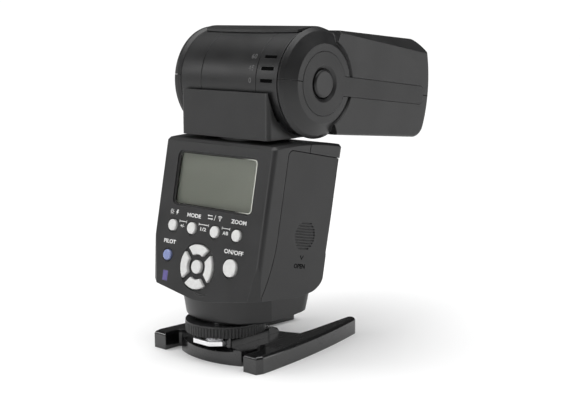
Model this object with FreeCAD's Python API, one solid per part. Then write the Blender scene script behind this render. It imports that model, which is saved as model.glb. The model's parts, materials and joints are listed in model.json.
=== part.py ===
import FreeCAD, Part
import math
import os

# Speedlight flash on its mini stand. Millimetres, +Z up, +Y the way the head points,
# +X towards the battery door. The origin is the mouth of the stand's tripod thread,
# and the hot-shoe foot, the locking ring and the swivel are above it.

V = FreeCAD.Vector

# ---- driving dimensions: joints -------------------------------------------------------
SWIVEL_Y = 20.0
PIVOT_Y = 26.5
PIVOT_Z = 124.6
HEAD_DROOP = 7.0
FACE_LEAN = 11.58
FACE_TOP_Y = -2.0
FACE_TOP_Z = 100.0
GAP = 0.3
RUN = 0.05

# ---- driving dimensions: stand, foot and locking ring ----------------------------------
STAND_DECK = 7.0
STAND_RIM = 8.0
SLOT_FLOOR = 7.2
RAIL_TOP = 11.4
FOOT_HALF = 9.3
FOOT_BOTTOM = 7.8
FOOT_THICK = 2.0
NECK_HALF = 5.9
BUSH_R = 5.5
THREAD_R = 2.6
THREAD_DEEP = 6.0
COLUMN_R = 10.0
RING_R = 18.5
RING_BOTTOM = 12.2
RING_TOP = 17.4
RING_RIBS = 72
HOUSING_BOTTOM = 18.3
HOUSING_TOP = 31.5

# ---- driving dimensions: body ----------------------------------------------------------
BODY_HALF = 34.1
BODY_FAR = 35.6
WALL = 2.0
SPLIT_T = 22.8
FRONT_CORNER_R = 2.8
REAR_CORNER_R = 2.3
DOOR_IN = 32.1
HINGE_X = 31.2
HINGE_T = 41.9
PIN_R = 0.8
LIP_R = 3.0
DOOR_TOP_S = 1.5
GRIP_T = 26.9
GRIP_S = 38.0
GRIP_R = 6.6
GRIP_ROWS = 10
GRIP_PITCH = 1.26
GRIP_DEEP = 0.45
CHINS = (
    (V(34.1, -11.4, 54.0), V(28.6, -16.6, 28.6), V(34.1, -12.6, 28.6)),
    (V(4.0, -16.7, 28.0), V(34.1, -12.0, 32.4), V(34.1, 10.0, 30.1)),
)
KEY_PROUD = 0.9
KEY_GAP = 0.25

# ---- driving dimensions: neck and head -------------------------------------------------
NECK_BOTTOM = 100.4
NECK_X = 27.1
NECK_FAR = 28.3
DRUM_R = 23.8
DRUM_HALF = 30.2
PLATE_IN = 24.05
PLATE_OUT = 25.2
CRADLE_R = 25.45
ARM_IN = 30.5
ARM_R = 24.7
SIDE_X = 37.0
JOURNAL_R = 10.0
DISC_R = 14.2
BUTTON_R = 6.4


# ---- small helpers ---------------------------------------------------------------------
def box(x0, x1, y0, y1, z0, z1):
    return Part.makeBox(x1 - x0, y1 - y0, z1 - z0, V(x0, y0, z0))


def rod(base, axis, radius, length):
    return Part.makeCylinder(radius, length, V(*base), V(*axis))


def tube(base, axis, outer, inner, length):
    return rod(base, axis, outer, length).cut(rod(base, axis, inner, length))


def face_of(points):
    corners = [V(*p) for p in points]
    return Part.Face(Part.makePolygon(corners + corners[:1]))


def prism_x(points_yz, x0, x1):
    return face_of([(x0, y, z) for y, z in points_yz]).extrude(V(x1 - x0, 0, 0))


def prism_y(points_xz, y0, y1):
    return face_of([(x, y0, z) for x, z in points_xz]).extrude(V(0, y1 - y0, 0))


def prism_z(points_xy, z0, z1):
    return face_of([(x, y, z0) for x, y in points_xy]).extrude(V(0, 0, z1 - z0))


def join(shapes):
    return shapes[0].fuse(shapes[1:]).removeSplitter() if len(shapes) > 1 else shapes[0]


def biggest(shape):
    """The main piece, where a cut leaves crumbs at an edge."""
    return max(shape.Solids, key=lambda solid: solid.Volume)


def mirror_x(shape):
    return shape.mirror(V(0, 0, 0), V(1, 0, 0))


def both_sides(shape):
    return [shape, mirror_x(shape)]


def turned(shape, angle, centre=(0, 0, 0), axis=(1, 0, 0)):
    copy = shape.copy()
    copy.rotate(V(*centre), V(*axis), angle)
    return copy


def moved(shape, x=0.0, y=0.0, z=0.0):
    copy = shape.copy()
    copy.translate(V(x, y, z))
    return copy


def edges_where(shape, test):
    return [e for e in shape.Edges if test(e)]


def along(edge, axis, minimum=0.0):
    """True for a straight edge that runs along the axis and is longer than minimum."""
    if edge.Curve.TypeId != "Part::GeomLine" or edge.Length < minimum:
        return False
    return abs(abs(edge.Curve.Direction.dot(V(*axis))) - 1.0) < 1e-4


def rounded_box(x0, x1, y0, y1, z0, z1, radius, axis):
    block = box(x0, x1, y0, y1, z0, z1)
    return block.makeFillet(radius, edges_where(block, lambda e: along(e, axis)))


# ---- the three leaning frames -----------------------------------------------------------
# In the case frame t runs into the body from the rear face and s runs down the face.
# A point there is written (x, t, -s). The head frame has its origin on the tilt axis.
def case_place(shape):
    copy = turned(shape, -FACE_LEAN)
    copy.translate(V(0, FACE_TOP_Y, FACE_TOP_Z))
    return copy


def head_place(shape):
    copy = turned(shape, -HEAD_DROOP)
    copy.translate(V(0, PIVOT_Y, PIVOT_Z))
    return copy


def face_s(z):
    """Distance down the rear face of a point on it at height z."""
    return (FACE_TOP_Z - z) / math.cos(math.radians(FACE_LEAN))


# ---- stand -----------------------------------------------------------------------------
LEG_OUTER = [(34.4, -11.0), (31.8, 19.0), (22.8, 66.0)]
LEG_TIP = (20.5, 68.0)
LEG_END_IN = (17.6, 65.5)
LEG_INNER_FRONT = (20.0, 34.0)
HEEL_Y = -14.4
HEEL_IN = 25.5
NOTCH = (21.5, -6.0)
LIP_Y = -13.6
LIP_X = 19.5
LIP_Z = 3.6
HOLLOW_Z = 1.2


def arc_edge(a, b, c, z):
    return Part.Arc(V(*a, z), V(*b, z), V(*c, z)).toShape()


def line_edge(a, b, z):
    return Part.LineSegment(V(*a, z), V(*b, z)).toShape()


def leg(z0, z1):
    """One leg with its heel: the outer side curves in towards the front."""
    heel = (HEEL_IN, HEEL_Y)
    heel_out = (LEG_OUTER[0][0] - 1.2, HEEL_Y)
    edges = [
        line_edge(heel, heel_out, z0),
        line_edge(heel_out, LEG_OUTER[0], z0),
        arc_edge(*LEG_OUTER, z0),
        arc_edge(LEG_OUTER[2], LEG_TIP, LEG_END_IN, z0),
        line_edge(LEG_END_IN, LEG_INNER_FRONT, z0),
        line_edge(LEG_INNER_FRONT, (LEG_INNER_FRONT[0], 0.0), z0),
        line_edge((LEG_INNER_FRONT[0], 0.0), (HEEL_IN, NOTCH[1]), z0),
        line_edge((HEEL_IN, NOTCH[1]), heel, z0),
    ]
    solid = Part.Face(Part.Wire(edges)).extrude(V(0, 0, z1 - z0))
    top = edges_where(solid, lambda e: min(v.Z for v in e.Vertexes) > z1 - 0.01)
    return solid.makeFillet(1.6, top)


def deck():
    """The plate between the legs: round behind, hollowed in front."""
    rear = arc_edge((-LIP_X, LIP_Y + 4.0), (0.0, LIP_Y - 0.4), (LIP_X, LIP_Y + 4.0), 0)
    right = [line_edge((LIP_X, LIP_Y + 4.0), NOTCH, 0), line_edge(NOTCH, (24.0, 34.0), 0)]
    front = arc_edge((24.0, 34.0), (0.0, 25.5), (-24.0, 34.0), 0)
    left = [line_edge((-24.0, 34.0), (-NOTCH[0], NOTCH[1]), 0),
            line_edge((-NOTCH[0], NOTCH[1]), (-LIP_X, LIP_Y + 4.0), 0)]
    plate = Part.Face(Part.Wire([rear] + right + [front] + left)).extrude(V(0, 0, STAND_DECK))
    slope = prism_x([(-20.0, LIP_Z), (-8.0, SLOT_FLOOR), (-8.0, 20.0), (-20.0, 20.0)], -16.0, 16.0)
    return plate.cut(slope)


def shoe():
    """The cold shoe that the foot slides into from behind."""
    block = box(-12.0, 12.0, -9.0, 17.0, 3.0, RAIL_TOP)
    block = block.makeFillet(1.0, edges_where(block, lambda e: along(e, (0, 0, 1))))
    slot = box(-FOOT_HALF - GAP, FOOT_HALF + GAP, -12.0, 14.0,
               SLOT_FLOOR, FOOT_BOTTOM + FOOT_THICK + GAP)
    mouth = box(-NECK_HALF - GAP - 0.1, NECK_HALF + GAP + 0.1, -12.0, 14.0, SLOT_FLOOR, RAIL_TOP + 1)
    pin_way = box(-1.6, 1.6, -12.0, -3.0, 4.5, SLOT_FLOOR + 1)
    return block, [slot, mouth, pin_way]


def make_stand_base():
    block, cuts = shoe()
    legs = both_sides(leg(0.0, STAND_RIM))
    ridge = prism_x([(14.0, STAND_DECK - 1), (26.5, STAND_DECK - 1), (24.0, 9.4), (16.0, RAIL_TOP)],
                    -10.0, 10.0)
    crest = edges_where(ridge, lambda e: along(e, (1, 0, 0), 5) and e.CenterOfMass.z > 8)
    ridge = ridge.makeFillet(1.2, crest)
    solid = deck().fuse(legs + [block, ridge])
    bush_seat = rod((0, 0, -1), (0, 0, 1), BUSH_R, THREAD_DEEP + 1)
    solid = solid.cut(cuts + [bush_seat])
    under = [box(-x1, -x0, y0, y1, -1, HOLLOW_Z) for x0, x1, y0, y1 in ((9, 19, -4, 22),)]
    return solid.cut(under + [mirror_x(u) for u in under]).removeSplitter()


def make_tripod_bush():
    body = rod((0, 0, 0), (0, 0, 1), BUSH_R, THREAD_DEEP)
    return body.cut(rod((0, 0, -1), (0, 0, 1), THREAD_R, THREAD_DEEP + 0.2))


# ---- hot-shoe foot and locking ring ------------------------------------------------------
FOOT_REAR = -15.6
FOOT_FRONT = 9.0
FOOT_CHAMFER = 4.2
PIN_Y = -6.2
SCREW_SPOTS = [(x, y) for x in (-3.9, 3.9) for y in (-4.6, 5.2)]
CONTACT_SPOTS = [(0.0, 1.0), (-3.6, 1.0), (3.6, 1.0), (-6.6, -3.0), (6.6, -3.0)]
CONTACT_R = 0.9


def make_hot_shoe_foot():
    plate = box(-FOOT_HALF, FOOT_HALF, FOOT_REAR, FOOT_FRONT,
                FOOT_BOTTOM, FOOT_BOTTOM + FOOT_THICK)
    rear = edges_where(plate, lambda e: along(e, (0, 0, 1)) and e.CenterOfMass.y < 0)
    plate = plate.makeChamfer(FOOT_CHAMFER, rear)
    neck = box(-NECK_HALF, NECK_HALF, -7.5, 7.5, FOOT_BOTTOM + 1, RING_BOTTOM)
    column = rod((0, 0, RING_BOTTOM - 0.1), (0, 0, 1), COLUMN_R, HOUSING_BOTTOM - RING_BOTTOM + 0.1)
    solid = join([plate, neck, column])
    holes = [rod((x, y, 0), (0, 0, 1), CONTACT_R, FOOT_BOTTOM + FOOT_THICK - 0.4) for x, y in CONTACT_SPOTS]
    holes += [rod((x, y, 0), (0, 0, 1), 1.7, FOOT_BOTTOM + 1.2) for x, y in SCREW_SPOTS]
    holes += [rod((x, y, 0), (0, 0, 1), 0.9, 30.0) for x, y in SCREW_SPOTS]
    holes += [rod((0, PIN_Y, 0), (0, 0, 1), 1.25, 16.0)]
    return solid.cut(holes)


def make_shoe_contacts():
    return [rod((x, y, FOOT_BOTTOM - 0.25), (0, 0, 1), CONTACT_R, FOOT_THICK - 0.3)
            for x, y in CONTACT_SPOTS]


def make_foot_screws():
    screws = []
    for x, y in SCREW_SPOTS:
        head = rod((x, y, FOOT_BOTTOM + 0.1), (0, 0, 1), 1.7, 1.1)
        cross = box(x - 1.0, x + 1.0, y - 0.2, y + 0.2, FOOT_BOTTOM, FOOT_BOTTOM + 0.6)
        shank = rod((x, y, FOOT_BOTTOM + 1.0), (0, 0, 1), 0.9, HOUSING_BOTTOM - FOOT_BOTTOM + 1.0)
        screws.append(head.fuse(shank).cut([cross, turned(cross, 90, (x, y, 0), (0, 0, 1))]))
    return screws


def make_lock_pin():
    pin = rod((0, PIN_Y, THREAD_DEEP + GAP), (0, 0, 1), 1.2, 5.2)
    return pin.makeChamfer(0.3, [pin.Edges[0], pin.Edges[2]])


def make_pressure_washer():
    ring = tube((0, 0, RAIL_TOP + GAP), (0, 0, 1), 15.2, COLUMN_R + RUN, 0.8)
    return ring


def make_lock_ring():
    """A turned ring with ribs round its rim and a hollow underneath for the washer."""
    points = []
    for rib in range(RING_RIBS):
        for step, radius in ((0.0, RING_R - 0.45), (0.22, RING_R), (0.62, RING_R), (0.84, RING_R - 0.45)):
            angle = 2 * math.pi * (rib + step) / RING_RIBS
            points.append((radius * math.cos(angle), radius * math.sin(angle)))
    ribbed = prism_z(points, RING_BOTTOM, RING_TOP - 0.9)
    collar = rod((0, 0, RING_TOP - 0.9), (0, 0, 1), RING_R - 0.1, 0.9)
    hollow = rod((0, 0, RING_BOTTOM - 1), (0, 0, 1), 15.5, 2.6)
    bore = rod((0, 0, RING_BOTTOM - 1), (0, 0, 1), COLUMN_R + RUN, 10.0)
    return ribbed.fuse(collar).cut([hollow, bore])


def housing_wire(half, rear, front, z):
    side_rear = rear + 18.0
    corner = 9.0
    bulge = corner * math.cos(math.pi / 4)
    edges = [
        arc_edge((-half, side_rear), (0.0, rear), (half, side_rear), z),
        line_edge((half, side_rear), (half, front - corner), z),
        arc_edge((half, front - corner),
                 (half - corner + bulge, front - corner + bulge),
                 (half - corner, front), z),
        line_edge((half - corner, front), (corner - half, front), z),
        arc_edge((corner - half, front),
                 (corner - half - bulge, front - corner + bulge),
                 (-half, front - corner), z),
        line_edge((-half, front - corner), (-half, side_rear), z),
    ]
    return Part.Wire(edges)


def housing_block(inset=0.0, floor=HOUSING_BOTTOM):
    low = housing_wire(25.8 - inset, -14.3 + inset, 31.4 - inset, floor)
    high = housing_wire(27.4 - inset, -16.3 + inset, 33.6 - inset, HOUSING_TOP)
    return Part.makeLoft([low, high], True, True)


def make_foot_housing():
    outer = housing_block()
    low_edges = edges_where(outer, lambda e: max(v.Z for v in e.Vertexes) < HOUSING_BOTTOM + 0.01)
    outer = outer.makeFillet(1.2, low_edges)
    rise = prism_x([(4.0, HOUSING_BOTTOM), (40.0, HOUSING_BOTTOM + 2.8), (40.0, 10.0), (4.0, 10.0)], -40, 40)
    solid = outer.cut([rise, housing_block(2.0, HOUSING_BOTTOM + 3.8)])
    holes = [rod((x, y, 0), (0, 0, 1), 0.9, HOUSING_TOP) for x, y in SCREW_SPOTS]
    return solid.cut(holes)


# ---- body shells -------------------------------------------------------------------------
def body_profile(inset=0.0):
    """Side outline of the body: leaning back and front, with a large radius at the toe."""
    lean = math.tan(math.radians(FACE_LEAN))
    thick = inset / math.cos(math.radians(FACE_LEAN))

    def rear_y(z):
        return FACE_TOP_Y - (FACE_TOP_Z - z) * lean + thick

    top_rear = (rear_y(98.4 - inset), 98.4 - inset)
    top_mid = (19.0, 98.95 - inset)
    top_front = (43.7 - inset * 1.1, 95.9 - inset)
    front_low = (31.6 - inset, 42.5)
    toe_mid = (28.6 - inset * 0.8, 35.2 + inset * 0.4)
    toe = (20.5 - inset * 0.3, 30.8 + inset)
    heel = (rear_y(28.0 + inset), 28.0 + inset)
    edges = [
        Part.LineSegment(V(0, *heel), V(0, *top_rear)).toShape(),
        Part.Arc(V(0, *top_rear), V(0, *top_mid), V(0, *top_front)).toShape(),
        Part.LineSegment(V(0, *top_front), V(0, *front_low)).toShape(),
        Part.Arc(V(0, *front_low), V(0, *toe_mid), V(0, *toe)).toShape(),
        Part.LineSegment(V(0, *toe), V(0, *heel)).toShape(),
    ]
    return Part.Face(Part.Wire(edges))


def chin_cutters(inset=0.0):
    """The facets that take off the lower rear corner on the +X side."""
    cutters = []
    for points in CHINS:
        normal = (points[1] - points[0]).cross(points[2] - points[0]).normalize()
        if normal.y > 0:
            normal = normal * -1.0
        centre = (points[0] + points[1] + points[2]) * (1.0 / 3.0) - normal * inset
        slab = Part.makeBox(80, 80, 40, V(-40, -40, 0))
        slab.Placement = FreeCAD.Placement(centre, FreeCAD.Rotation(V(0, 0, 1), normal))
        cutters.append(slab)
    return cutters


def body_block(inset=0.0):
    far = BODY_FAR - inset
    solid = moved(body_profile(inset), -far).extrude(V(far + BODY_HALF - inset, 0, 0))

    def upright(edge, front):
        if edge.Curve.TypeId != "Part::GeomLine" or edge.Length < 30:
            return False
        across = abs(edge.Curve.Direction.x) < 0.01 and abs(edge.Curve.Direction.z) > 0.8
        return across and (edge.CenterOfMass.y > 0) == front

    for radius, front in ((FRONT_CORNER_R, True), (REAR_CORNER_R, False)):
        solid = solid.makeFillet(radius - inset, edges_where(solid, lambda e: upright(e, front)))
    cutters = chin_cutters(inset)
    return solid.cut(cutters + [mirror_x(c) for c in cutters])


def softened_body():
    """The body with its top edge eased."""
    solid = body_block()
    top = edges_where(solid, lambda e: min(v.Z for v in e.Vertexes) > 95.0)
    return solid.makeChamfer(1.2, top)


def half_space(t0, t1):
    return case_place(box(-60, 60, t0, t1, -110, 30))


def door_region(grow=0.0):
    """The door's outline, swept through the side wall, in the case frame."""
    rear_t = 9.3 - grow
    top_s = DOOR_TOP_S - grow
    points_low = (3.9 - grow, -66.5)
    edges = [
        Part.LineSegment(V(0, HINGE_T, -top_s), V(0, rear_t + 3, -top_s)).toShape(),
        Part.Arc(V(0, rear_t + 3, -top_s), V(0, rear_t + 0.88, -top_s - 0.88),
                 V(0, rear_t, -top_s - 3)).toShape(),
        Part.LineSegment(V(0, rear_t, -top_s - 3), V(0, rear_t, -40.0)).toShape(),
        Part.Arc(V(0, rear_t, -40.0), V(0, rear_t - 1.55, -54.0), V(0, *points_low)).toShape(),
        Part.LineSegment(V(0, *points_low), V(0, points_low[0], -80.0)).toShape(),
        Part.LineSegment(V(0, points_low[0], -80.0), V(0, HINGE_T, -80.0)).toShape(),
        Part.LineSegment(V(0, HINGE_T, -80.0), V(0, HINGE_T, -top_s)).toShape(),
    ]
    outline = Part.Face(Part.Wire(edges))
    solid = moved(outline, DOOR_IN - 2 * grow).extrude(V(6, 0, 0))
    front = rod((HINGE_X, HINGE_T, -80.0), (0, 0, 1), LIP_R + grow, 80.0 - top_s)
    keep = box(HINGE_X - 0.1 - 2 * grow, 50, HINGE_T - 0.1, 60, -90, 0)
    return case_place(solid.fuse(front.common(keep)))


KEYS = {
    "key_lamp": (-23.2, 59.2, 2.6),
    "key_mode": (-10.5, 59.2, 2.6),
    "key_wireless": (4.4, 59.2, 2.6),
    "key_zoom": (18.1, 59.2, 2.6),
    "key_power": (16.8, 45.0, 3.9),
    "key_pilot": (-24.2, 45.5, 2.45),
    "key_centre": (-4.0, 42.7, 3.05),
}
PAD_X = -4.0
PAD_Z = 42.7
PAD_IN = 5.8
PAD_OUT = 10.1
PAD_WELL = 11.0
PAD_SLIT = 1.5
INDICATOR = (-24.1, 36.1, 1.6, 2.3)
LCD_X = (-24.7, 24.7)
LCD_S = (7.5, 31.6)


def key_disc(x, z, radius, t0, t1):
    return rod((x, t0, -face_s(z)), (0, 1, 0), radius, t1 - t0)


def pad_ring(inner, outer, t0, t1):
    return key_disc(PAD_X, PAD_Z, outer, t0, t1).cut(key_disc(PAD_X, PAD_Z, inner, t0, t1))


def arc_key(turn, grow, t0, t1):
    """A quarter of the pad's ring, with diagonal slits at its ends."""
    ring = pad_ring(PAD_IN - grow, PAD_OUT + grow, t0, t1)
    reach = 20.0
    slit = PAD_SLIT - grow
    corner = slit * math.sqrt(2.0)
    wedge = face_of([(PAD_X, t0, -face_s(PAD_Z) + corner),
                     (PAD_X + reach, t0, -face_s(PAD_Z) + reach + corner),
                     (PAD_X - reach, t0, -face_s(PAD_Z) + reach + corner)]).extrude(V(0, t1 - t0, 0))
    quarter = ring.common(wedge)
    return turned(quarter, turn, (PAD_X, 0, -face_s(PAD_Z)), (0, 1, 0))


def face_cuts():
    """Every opening in the rear face: display window, key holes, pad and lamp."""
    window = rounded_box(LCD_X[0], LCD_X[1], -3, WALL + 1, -LCD_S[1], -LCD_S[0], 2.2, (0, 1, 0))
    bevel = rounded_box(LCD_X[0] - 1.0, LCD_X[1] + 0.4, -3, 0.7, -LCD_S[1] - 0.8, -LCD_S[0] + 0.8,
                        3.0, (0, 1, 0))
    cuts = [window, bevel]
    for x, z, radius in KEYS.values():
        cuts.append(key_disc(x, z, radius + KEY_GAP, -3, WALL + 1))
        if radius != KEYS["key_centre"][2]:
            cuts.append(key_disc(x, z, radius + 0.9, -3, 0.5))
    cuts += [arc_key(90 * i, KEY_GAP, -3, WALL + 1) for i in range(4)]
    cuts.append(pad_ring(0.1, PAD_WELL, -3, 0.6))
    x, z, half_w, half_h = INDICATOR
    s = face_s(z)
    cuts.append(box(x - half_w, x + half_w, -3, WALL + 1, -s - half_h, -s + half_h))
    return cuts


BOARD_T = (5.6, 7.2)
BOARD_SCREWS = [(-29.3, 9.0), (29.3, 9.0), (8.0, 63.4)]
SENSOR = (-13.0, 13.0, 50.0, 66.0)
HUB_BORE = 16.0


def make_shell():
    outer = softened_body()
    inner = body_block(WALL)
    shell = outer.cut(inner)
    shell = shell.cut([housing_block(), door_region(GAP), case_place(hinge_jamb())])
    return shell.cut(rod((0, SWIVEL_Y, 90), (0, 0, 1), HUB_BORE, 20))


def hinge_jamb():
    """Room for the door's lip as it turns, open at the body's corner."""
    long = 80.0 - DOOR_TOP_S + GAP
    sweep = rod((HINGE_X, HINGE_T, -80.0), (0, 0, 1), LIP_R + GAP, long)
    corner = box(HINGE_X, 50, HINGE_T, 60, -80.0, long - 80.0)
    return sweep.common(box(HINGE_X - 4, 50, HINGE_T - 4, 60, -90, 0)).fuse(corner)


def make_rear_case(shell):
    solid = shell.common(half_space(-10, SPLIT_T))
    solid = solid.cut([case_place(c) for c in face_cuts()])
    bosses = [case_place(tube((x, WALL - 0.2, -s), (0, 1, 0), 2.2, 1.0, BOARD_T[0] - WALL + 0.2))
              for x, s in BOARD_SCREWS]
    return solid.fuse(bosses)


def seam_ring():
    """The shallow groove left where the two shells meet."""
    slab = half_space(SPLIT_T - 0.1, SPLIT_T + 0.35)
    return slab.cut(body_block(0.8))


def make_front_case(shell):
    solid = shell.common(half_space(SPLIT_T, 90)).cut(seam_ring())
    x0, x1, z0, z1 = SENSOR
    window = rounded_box(x0, x1, 30, 60, z0, z1, 3.0, (0, 1, 0))
    return biggest(solid.cut(window))


def hinge_pin_rod():
    return rod((HINGE_X, HINGE_T, -57.6), (0, 0, 1), PIN_R, 50.1)


def grip_ribs():
    """Shallow grooves across the door inside a circle, for the thumb."""
    grooves = []
    for row in range(GRIP_ROWS):
        down = GRIP_PITCH * (row - (GRIP_ROWS - 1) / 2)
        half = math.sqrt(GRIP_R ** 2 - down ** 2)
        s = GRIP_S + down
        grooves.append(case_place(box(BODY_HALF - GRIP_DEEP, BODY_HALF + 1, GRIP_T - half, GRIP_T + half,
                                      -s - GRIP_PITCH / 4, -s + GRIP_PITCH / 4)))
    return grooves


def make_battery_door():
    front_seam = case_place(box(DOOR_IN + 1.3, 60, HINGE_T + 0.6, HINGE_T + 0.9, -80, 0))
    plate = softened_body().common(door_region()).cut(grip_ribs() + [front_seam])
    plate = plate.cut(case_place(rod((HINGE_X, HINGE_T, -80.0), (0, 0, 1), 1.8, 80.0)))
    knuckle = tube((HINGE_X, HINGE_T, -50.0), (0, 0, 1), 1.45, PIN_R + RUN, 33.8)
    web = box(HINGE_X, DOOR_IN + 0.9, HINGE_T - 1.3, HINGE_T + 1.3, -50.0, -16.2)
    web = web.cut(rod((HINGE_X, HINGE_T, -51.0), (0, 0, 1), PIN_R + RUN, 40))
    return plate.fuse([case_place(knuckle), case_place(web)])


def make_door_sleeve():
    return case_place(tube((HINGE_X, HINGE_T, -15.9), (0, 0, 1), 1.45, PIN_R + RUN, 4.6))


def make_door_hinge_pin():
    return case_place(hinge_pin_rod())


# ---- display, keys and boards --------------------------------------------------------------
def make_lcd_window():
    plate = rounded_box(LCD_X[0], LCD_X[1], 1.0, WALL, -LCD_S[1], -LCD_S[0], 2.2, (0, 1, 0))
    return case_place(plate)


def make_lcd_panel():
    glass = box(LCD_X[0] - 1.2, LCD_X[1] + 1.2, WALL, 4.6, -LCD_S[1] - 1.2, -LCD_S[0] + 1.2)
    return case_place(glass.common(board_limit()))


def board_limit():
    """The room inside the rear shell, in the case frame."""
    room = body_block(WALL + 0.1)
    room.translate(V(0, -FACE_TOP_Y, -FACE_TOP_Z))
    return turned(room, FACE_LEAN)


def domed_disc(x, z, radius, t0, t1, ease):
    disc = key_disc(x, z, radius, t0, t1)
    front = edges_where(disc, lambda e: e.CenterOfMass.y < t0 + 0.01 and e.Length > radius)
    return disc.makeFillet(ease, front)


def make_round_key(x, z, radius):
    cap = domed_disc(x, z, radius, -KEY_PROUD, 2.3, 0.5)
    flange = key_disc(x, z, radius + 0.7, 2.2, 2.9)
    return case_place(cap.fuse(flange))


def make_centre_key():
    x, z, radius = KEYS["key_centre"]
    cap = domed_disc(x, z, radius, -KEY_PROUD, 2.3, 0.5)
    flange = key_disc(x, z, radius + 0.6, 2.2, 2.9)
    return case_place(cap.fuse(flange))


def make_arc_key(turn):
    cap = arc_key(turn, 0.0, -KEY_PROUD, 2.9)
    front = edges_where(cap, lambda e: e.CenterOfMass.y < -KEY_PROUD + 0.01)
    return case_place(cap.makeFillet(0.4, front))


def make_key_membrane():
    sheet = rounded_box(-30.0, 27.0, 3.6, 4.5, -61.5, -35.5, 3.0, (0, 1, 0))
    posts = [rod((x, 0, -s), (0, 1, 0), 2.4, 10) for x, s in BOARD_SCREWS]
    return case_place(sheet.common(board_limit()).cut(posts))


def make_control_board():
    board = box(-31.4, 31.4, BOARD_T[0], BOARD_T[1], -66.0, -6.0)
    chips = [box(-8, 4, 7.2, 8.4, -30, -18), box(10, 18, 7.2, 8.2, -44, -36),
             box(-24, -16, 7.2, 8.4, -52, -42)]
    holes = [rod((x, 0, -s), (0, 1, 0), 1.0, 10) for x, s in BOARD_SCREWS]
    return case_place(join([board] + chips).cut(holes).common(board_limit()))


def make_indicator_lens():
    x, z, half_w, half_h = INDICATOR
    s = face_s(z)
    plug = case_place(box(x - half_w, x + half_w, -3, WALL + 0.6, -s - half_h, -s + half_h))
    return plug.common(softened_body())


# ---- battery bay, capacitor and power board --------------------------------------------------
CELL_R = 7.25
CELL_LONG = 50.5
SPRING_WIDE = 4.4
CELL_TOP = 7.9
CELL_X = (9.45, 24.0)
CELL_T = (17.7, 32.3)
BAY = (1.0, 29.6, 9.6, 40.2)


def make_battery_bay():
    """Open tray for the cells, with the two lugs that hold the door's hinge pin."""
    x0, x1, t0, t1 = BAY
    block = box(x0, x1, t0, t1, -62.6, -6.2)
    room = box(x0 + 1.1, x1 + 5, t0 + 0.75, t1 - 0.55, -61.6, -7.2)
    tray = case_place(block.cut(room)).common(body_block(WALL))
    lugs = []
    for s0, s1 in ((7.5, 11.0), (54.6, 57.6)):
        arm = case_place(box(27.0, HINGE_X, t1 - 0.1, HINGE_T - 0.6, -s1, -s0))
        lugs.append(arm.common(body_block(WALL)))
        lugs.append(case_place(rod((HINGE_X, HINGE_T, -s1), (0, 0, 1), 1.45, s1 - s0)))
    return tray.fuse(lugs).cut(case_place(hinge_pin_rod()))


def cell_spots():
    return [(x, t) for x in CELL_X for t in CELL_T]


def make_aa_cells():
    cells = []
    for index, (x, t) in enumerate(cell_spots()):
        can = rod((x, t, -CELL_TOP - CELL_LONG), (0, 0, 1), CELL_R, CELL_LONG - 1.0)
        can = can.makeFillet(0.5, edges_where(can, lambda e: e.Length < 50 and e.Closed))
        nub = rod((x, t, -CELL_TOP - 1.1), (0, 0, 1), 2.7, 1.1)
        cell = can.fuse(nub)
        if index in (1, 2):
            cell = turned(cell, 180, (x, t, -CELL_TOP - CELL_LONG / 2), (1, 0, 0))
        cells.append(case_place(cell))
    return cells


def make_battery_contacts():
    plates = []
    for x, t in cell_spots():
        plates.append(case_place(box(x - 5.0, x + 5.0, t - 5.0, t + 5.0, -7.7, -7.2)))
    return plates


def make_battery_springs():
    """Bowed leaf springs that press the cells from below."""
    bow = [(-3.4, -2.1), (-1.2, 0.0), (1.2, 0.0), (3.4, -2.1),
           (3.0, -2.1), (1.05, -0.3), (-1.05, -0.3), (-3.0, -2.1)]
    leaf = prism_y(bow, -SPRING_WIDE / 2, SPRING_WIDE / 2)
    return [case_place(moved(leaf, x, t, -CELL_TOP - CELL_LONG - 0.02)) for x, t in cell_spots()]


def make_main_capacitor():
    can = rod((-17.5, 27.5, -54.0), (0, 0, 1), 12.0, 44.0)
    can = can.makeFillet(1.2, edges_where(can, lambda e: e.Closed))
    leads = [rod((-17.5 + dx, 27.5, -58.0), (0, 0, 1), 0.5, 4.2) for dx in (-3.5, 3.5)]
    return case_place(join([can] + leads))


def make_power_board():
    board = box(-2.4, -0.8, 9.6, 40.0, -60.0, -13.0)
    parts = [rod((-2.4, 13.0, -56.0), (-1, 0, 0), 2.0, 3.0), box(-4.4, -2.4, 10.0, 14.0, -50, -42)]
    return case_place(join([board] + parts).common(board_limit()))


def make_transformer():
    core = box(-11.0, -2.4, 9.8, 16.4, -34.0, -20.0)
    return case_place(core.makeFillet(0.8, edges_where(core, lambda e: along(e, (1, 0, 0)))))


def make_board_screws():
    screws = []
    for x, s in BOARD_SCREWS:
        shank = rod((x, WALL + 0.6, -s), (0, 1, 0), 1.0, BOARD_T[1] - WALL)
        head = rod((x, BOARD_T[1], -s), (0, 1, 0), 1.9, 1.2)
        screws.append(case_place(shank.fuse(head)))
    return screws


def make_sensor_window():
    x0, x1, z0, z1 = SENSOR
    block = rounded_box(x0, x1, 30, 60, z0, z1, 3.0, (0, 1, 0))
    return body_block(0.3).cut(body_block(WALL)).common(block)


def make_slave_sensor():
    board = box(-5.0, 5.0, 40.6, 41.4, -46.0, -38.0)
    eye = rod((0, 41.3, -42.0), (0, 1, 0), 2.5, 0.9)
    return case_place(board.fuse(eye))


# ---- swivel ---------------------------------------------------------------------------------
TUBE_R = 11.0
TUBE_IN = 8.6
TUBE_TOP = 108.0
BEARING_TOP = 100.1


def swivel_rod(radius, z0, z1):
    return rod((0, SWIVEL_Y, z0), (0, 0, 1), radius, z1 - z0)


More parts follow.
